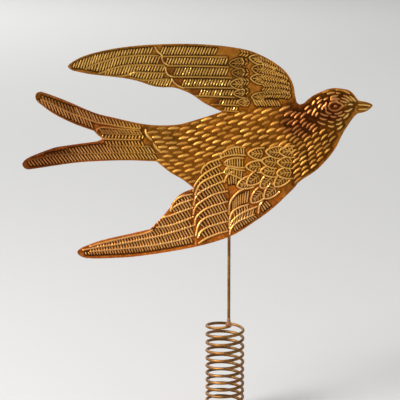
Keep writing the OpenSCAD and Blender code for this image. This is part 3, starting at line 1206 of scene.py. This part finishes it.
def emboss_tree():
    """Raises a sheet along strokes, and keeps masks of the crests and hollows for its finish."""
    inputs = [("Geometry", GEOMETRY, None)]
    for kind in STROKES:
        inputs.append((kind.capitalize() + " Strokes", OBJECT, None))
        inputs.append((kind.capitalize() + " Width", FLOAT, 0.0018))
        inputs.append((kind.capitalize() + " Height", FLOAT, 0.0004))
    inputs += [
        ("Swell Reach", FLOAT, 0.004),
        ("Swell Height", FLOAT, 0.0003),
        ("Hollow Reach", FLOAT, 0.003),
        ("Hollow Depth", FLOAT, 0.0002),
        ("Finish", MATERIAL, None),
    ]
    tree, start, end = new_tree("emboss", "GeometryNodeTree", inputs, inputs[:1])
    given = start.outputs
    position = add_node(tree, "GeometryNodeInputPosition").outputs[0]
    split = add_node(tree, "ShaderNodeSeparateXYZ", {0: position}).outputs
    flat = add_node(tree, "ShaderNodeCombineXYZ", {"X": split["X"], "Z": split["Z"]}).outputs[0]
    lift, crest, hollow = 0.0, 0.0, 0.0
    for kind in STROKES:
        label = kind.capitalize()
        distance, full, bold = nearest_stroke(tree, given[label + " Strokes"], flat)
        half = product(tree, given[label + " Width"], 0.5, full)
        raised = product(tree, fall(tree, distance, product(tree, half, FLAT_TOP), half), bold)
        height = product(tree, raised, given[label + " Height"])
        if kind == "groove":
            cut, groove_dark = height, product(tree, raised, GROOVE_DARK)
            continue
        if kind == "ridge":
            swell = fall(tree, distance, 0.0, given["Swell Reach"])
        lift = maths(tree, "MAXIMUM", lift, height)
        crest = maths(tree, "MAXIMUM", crest, raised)
        depth, spread = HOLLOWS[kind]
        reach = product(tree, given["Hollow Reach"], spread)
        sunk = fall(tree, distance, product(tree, reach, FLAT_HOLLOW), reach)
        hollow = maths(tree, "MAXIMUM", hollow, product(tree, sunk, depth))
    lift = maths(tree, "ADD", lift, product(tree, swell, given["Swell Height"]))
    hollow = product(tree, hollow, rest_of(tree, crest))
    sunk = product(tree, hollow, given["Hollow Depth"])
    height = maths(tree, "SUBTRACT", maths(tree, "SUBTRACT", lift, sunk), cut)

    front = carried(tree, "front_side")
    rim_bare = rest_of(tree, carried(tree, "rim"))
    sides = {
        0: front,
        2: product(tree, crest, BACK_DARK),
        3: maths(tree, "MAXIMUM", hollow, groove_dark),
    }
    hollow_mask = add_node(tree, "ShaderNodeMix", sides, data_type="FLOAT").outputs[0]
    masks = {
        "crest": product(tree, crest, front, rim_bare),
        "hollow": product(tree, hollow_mask, rim_bare),
    }
    geometry = given["Geometry"]
    kind = {"data_type": "FLOAT", "domain": "POINT"}
    for label, value in masks.items():
        store = add_node(tree, "GeometryNodeStoreNamedAttribute", **kind)
        feed(tree, store.inputs["Geometry"], geometry)
        feed(tree, store.inputs["Name"], label)
        feed(tree, store.inputs["Value"], value)
        geometry = store.outputs["Geometry"]
    forward = product(tree, height, carried(tree, "follow"), -1.0)
    offset = add_node(tree, "ShaderNodeCombineXYZ", {"Y": forward}).outputs[0]
    move = add_node(tree, "GeometryNodeSetPosition", {"Geometry": geometry, "Offset": offset})
    close_tree(tree, end, move.outputs["Geometry"], given["Finish"])
    return tree


# Width and height of each kind of stroke, in millimetres
STROKE_SIZES = {
    "ridge": (2.2, 0.6),
    "bar": (1.8, 0.55),
    "barb": (1.6, 0.4),
    "dash": (3.4, 0.9),
    "quill": (2.6, 0.8),
    "groove": (1.8, 0.35),
}
SHEET_SHARP = math.radians(72)


def make_swallow():
    values = {
        "Swell Reach": 4.5 * MM,
        "Swell Height": 0.35 * MM,
        "Hollow Reach": 2.35 * MM,
        "Hollow Depth": 0.15 * MM,
        "Finish": SHEET_FINISH,
    }
    strokes = {kind: stroke_object(kind) for kind in STROKES}
    for kind, (width, height) in STROKE_SIZES.items():
        values[kind.capitalize() + " Strokes"] = strokes[kind]
        values[kind.capitalize() + " Width"] = width * MM
        values[kind.capitalize() + " Height"] = height * MM
    swallow = grow("swallow", build_sheet_mesh(), emboss_tree(), values, "bird")
    for made in strokes.values():
        bpy.data.objects.remove(made)
    shade_smooth(swallow.data)
    swallow.data.set_sharp_from_angle(angle=SHEET_SHARP)
    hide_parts("swallow_sheet")


make_swallow()

# ---------------------------------------------------------------- the wire coil

COIL_TURNS = 12.5
RINGS_PER_TURN = 56
WIRE_SIDES = 16
WIRE_SHARP = math.radians(50)
# Where the rounding of the end begins, in rings before the first
END_RING = 0.35
# How far the wire's top end runs past the rod
PAST_ROD = math.radians(8)


def coil_tree():
    """A wire wound on the coil's own rule, swept with a round section and rounded ends."""
    inputs = [
        ("Coil Radius", FLOAT, 0.0185),
        ("Wire Radius", FLOAT, 0.0015),
        ("Turns", FLOAT, 12.5),
        ("Bottom Pitch", FLOAT, 0.0063),
        ("Top Pitch", FLOAT, 0.009),
        ("End Angle", FLOAT, 0.0),
        ("End Lift", FLOAT, 0.002),
        ("Lift Turns", FLOAT, 1 / 6),
        ("Finish", MATERIAL, None),
    ]
    geometry = [("Geometry", GEOMETRY, None)]
    tree, start, end = new_tree("wound_wire", "GeometryNodeTree", geometry + inputs, geometry)
    given = start.outputs

    def plus(one, other):
        return maths(tree, "ADD", one, other)

    def minus(one, other):
        return maths(tree, "SUBTRACT", one, other)

    def over(one, other):
        return maths(tree, "DIVIDE", one, other)

    count = round(COIL_TURNS * RINGS_PER_TURN)
    line = add_node(tree, "GeometryNodeMeshLine", {"Count": count + 1}, mode="OFFSET")
    index = add_node(tree, "GeometryNodeInputIndex").outputs[0]
    turns = product(tree, over(index, float(count)), given["Turns"])
    left = minus(given["Turns"], turns)
    angle = minus(given["End Angle"], product(tree, left, 2 * math.pi))
    growth = minus(given["Top Pitch"], given["Bottom Pitch"])
    growth = over(growth, product(tree, given["Turns"], 2.0))
    rise = product(tree, growth, product(tree, turns, turns))
    rise = plus(product(tree, given["Bottom Pitch"], turns), rise)
    near_end = maths(tree, "MAXIMUM", 0.0, rest_of(tree, over(left, given["Lift Turns"])))
    lift = product(tree, given["End Lift"], product(tree, near_end, near_end))
    place = {
        "X": product(tree, given["Coil Radius"], maths(tree, "COSINE", angle)),
        "Y": product(tree, given["Coil Radius"], maths(tree, "SINE", angle)),
        "Z": plus(given["Wire Radius"], plus(rise, lift)),
    }
    place = add_node(tree, "ShaderNodeCombineXYZ", place).outputs[0]
    wound = {"Geometry": line.outputs["Mesh"], "Position": place}
    wound = add_node(tree, "GeometryNodeSetPosition", wound).outputs["Geometry"]
    curve = add_node(tree, "GeometryNodeMeshToCurve", {0: wound}).outputs[0]
    # The last rings draw in, so each end of the wire is rounded
    from_end = maths(tree, "MINIMUM", index, minus(float(count), index))
    short_of_full = rest_of(tree, maths(tree, "MINIMUM", 1.0, plus(from_end, END_RING)))
    round_end = rest_of(tree, maths(tree, "POWER", short_of_full, 2.0))
    ring = {"Resolution": WIRE_SIDES, "Radius": given["Wire Radius"]}
    ring = add_node(tree, "GeometryNodeCurvePrimitiveCircle", ring, mode="RADIUS")
    sweep = {
        "Curve": curve,
        "Profile Curve": ring.outputs["Curve"],
        "Fill Caps": True,
        "Scale": maths(tree, "SQRT", round_end),
    }
    sweep = add_node(tree, "GeometryNodeCurveToMesh", sweep)
    close_tree(tree, end, sweep.outputs["Mesh"], given["Finish"])
    return tree


def make_coil():
    blank = bpy.data.meshes.new("coil_blank")
    blank.from_pydata([(0, 0, 0)], [], [])
    foot_angle = math.atan2(PIVOT_Y, PIVOT_X)
    values = {
        "Coil Radius": math.hypot(PIVOT_X, PIVOT_Y),
        "Wire Radius": WIRE_R,
        "Turns": COIL_TURNS,
        "Bottom Pitch": 6.3 * MM,
        "Top Pitch": 9 * MM,
        "End Angle": foot_angle + PAST_ROD,
        "End Lift": 2 * MM,
        "Finish": WIRE_FINISH,
    }
    coil = grow("coil", blank, coil_tree(), values, "socket")
    shape = bmesh.new()
    shape.from_mesh(coil.data)
    settle(shape, coil.data)
    coil.data.set_sharp_from_angle(angle=WIRE_SHARP)
    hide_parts("coil_socket")
    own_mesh(coil)


make_coil()

# ---------------------------------------------------------------- the rod's braze


def make_foot_braze():
    """Filler that has run round the rod's foot and down over the coil's wire."""
    profile = [
        (1.42, 7.0), (1.54, 6.6), (1.6, 5.4), (1.72, 4.0), (1.92, 2.7), (2.16, 1.6), (2.34, 0.6),
        (2.4, -0.3), (2.3, -1.1), (2.0, -1.8), (1.4, -2.2), (0.7, -2.35),
    ]
    sides = 40
    top_of_waves, top_of_toe, toe_wider = 6, 1, 1.25
    wave_depth, wave_lean = (0.02, 0.06), 0.3
    drift = random.Random(5)
    waves = [(drift.uniform(0, 6.28), drift.uniform(*wave_depth), k) for k in (2, 3, 5)]
    shape = bmesh.new()
    rings = []
    for radius, height in profile:
        ring = []
        for i in range(sides):
            turn = 2 * math.pi * i / sides
            swell = 1 + sum(
                depth * math.sin(k * turn + phase + height * wave_lean)
                for phase, depth, k in waves
            )
            reach = radius * (swell if height < top_of_waves else 1) * MM
            wider = toe_wider if height < top_of_toe else 1
            x = PIVOT_X + reach * math.cos(turn) * wider
            y = PIVOT_Y + reach * math.sin(turn)
            ring.append(shape.verts.new((x, y, ROD_FOOT_Z + height * MM)))
        rings.append(ring)
    for upper, lower in zip(rings, rings[1:]):
        for i in range(sides):
            after = (i + 1) % sides
            shape.faces.new((upper[i], lower[i], lower[after], upper[after]))
    shape.faces.new(rings[0])
    shape.faces.new(rings[-1][::-1])
    mesh = bpy.data.meshes.new("foot_filler")
    settle(shape, mesh)
    mesh.materials.append(BRAZE_FINISH)
    filler = set_out("foot_filler", mesh)
    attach(filler, "stem")
    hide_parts("foot_braze")


make_foot_braze()

# ---------------------------------------------------------------- CAD pieces that stay


def finish_node(name, material):
    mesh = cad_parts[name].data
    if not mesh.materials:
        mesh.materials.append(material)
    for i in range(len(mesh.materials)):
        mesh.materials[i] = material


finish_node("rod", WIRE_FINISH)
finish_node("pivot_tube", TUBE_FINISH)
finish_node("tube_cap", TUBE_FINISH)
finish_node("tube_seams", BRAZE_FINISH)
finish_node("pivot_ball", BALL_FINISH)

# ---------------------------------------------------------------- floor, light and camera


def make_floor():
    mesh = bpy.data.meshes.new("floor")
    reach = 60.0
    mesh.from_pydata(
        [(-reach, -reach, 0), (reach, -reach, 0), (reach, reach, 0), (-reach, reach, 0)],
        [],
        [(0, 1, 2, 3)],
    )
    material = bpy.data.materials.new("pale_floor")
    material.use_nodes = True
    shader = material.node_tree.nodes["Principled BSDF"]
    shader.inputs["Base Color"].default_value = linear(187, 187, 187)
    shader.inputs["Roughness"].default_value = 0.9
    shader.inputs["Specular IOR Level"].default_value = 0.1
    mesh.materials.append(material)
    set_out("floor", mesh)


def area_light(name, place, target, size, power, colour):
    data = bpy.data.lights.new(name, "AREA")
    data.shape = "DISK"
    data.size = size
    data.energy = power
    data.color = colour
    light = set_out(name, data)
    light.location = place
    direction = Vector(target) - light.location
    light.rotation_euler = direction.to_track_quat("-Z", "Y").to_euler()


make_floor()
heart = (PIVOT_X, PIVOT_Y, BEAK_Z - 40 * MM)
area_light("key", (-1.9, -1.2, 1.6), heart, 1.3, 116, (1.0, 0.98, 0.95))
area_light("fill", (1.7, -1.6, 0.8), heart, 1.4, 3.5, (0.95, 0.97, 1.0))
area_light("backdrop", (-3.2, 5.4, 4.2), (-2.0, 5.0, 0), 5.0, 385, (1.0, 1.0, 0.99))
area_light("back", (1.7, 2.7, 1.6), heart, 1.2, 8, (1.0, 1.0, 1.0))

world = bpy.data.worlds.new("studio")
bpy.context.scene.world = world
world.use_nodes = True
sky = world.node_tree.nodes["Background"].inputs
sky["Color"].default_value = (0.90, 0.90, 0.89, 1)
sky["Strength"].default_value = 0.5

lens = bpy.data.cameras.new("camera")
lens.lens = 144
lens.sensor_width = 36
lens.clip_end = 100
camera = set_out("camera", lens)
camera.location = (-0.0255, -1.5823, 0.5241)
camera.rotation_euler = (math.radians(90 - 10.7), 0, 0)
bpy.context.scene.camera = camera
bpy.context.scene.view_settings.view_transform = "Standard"
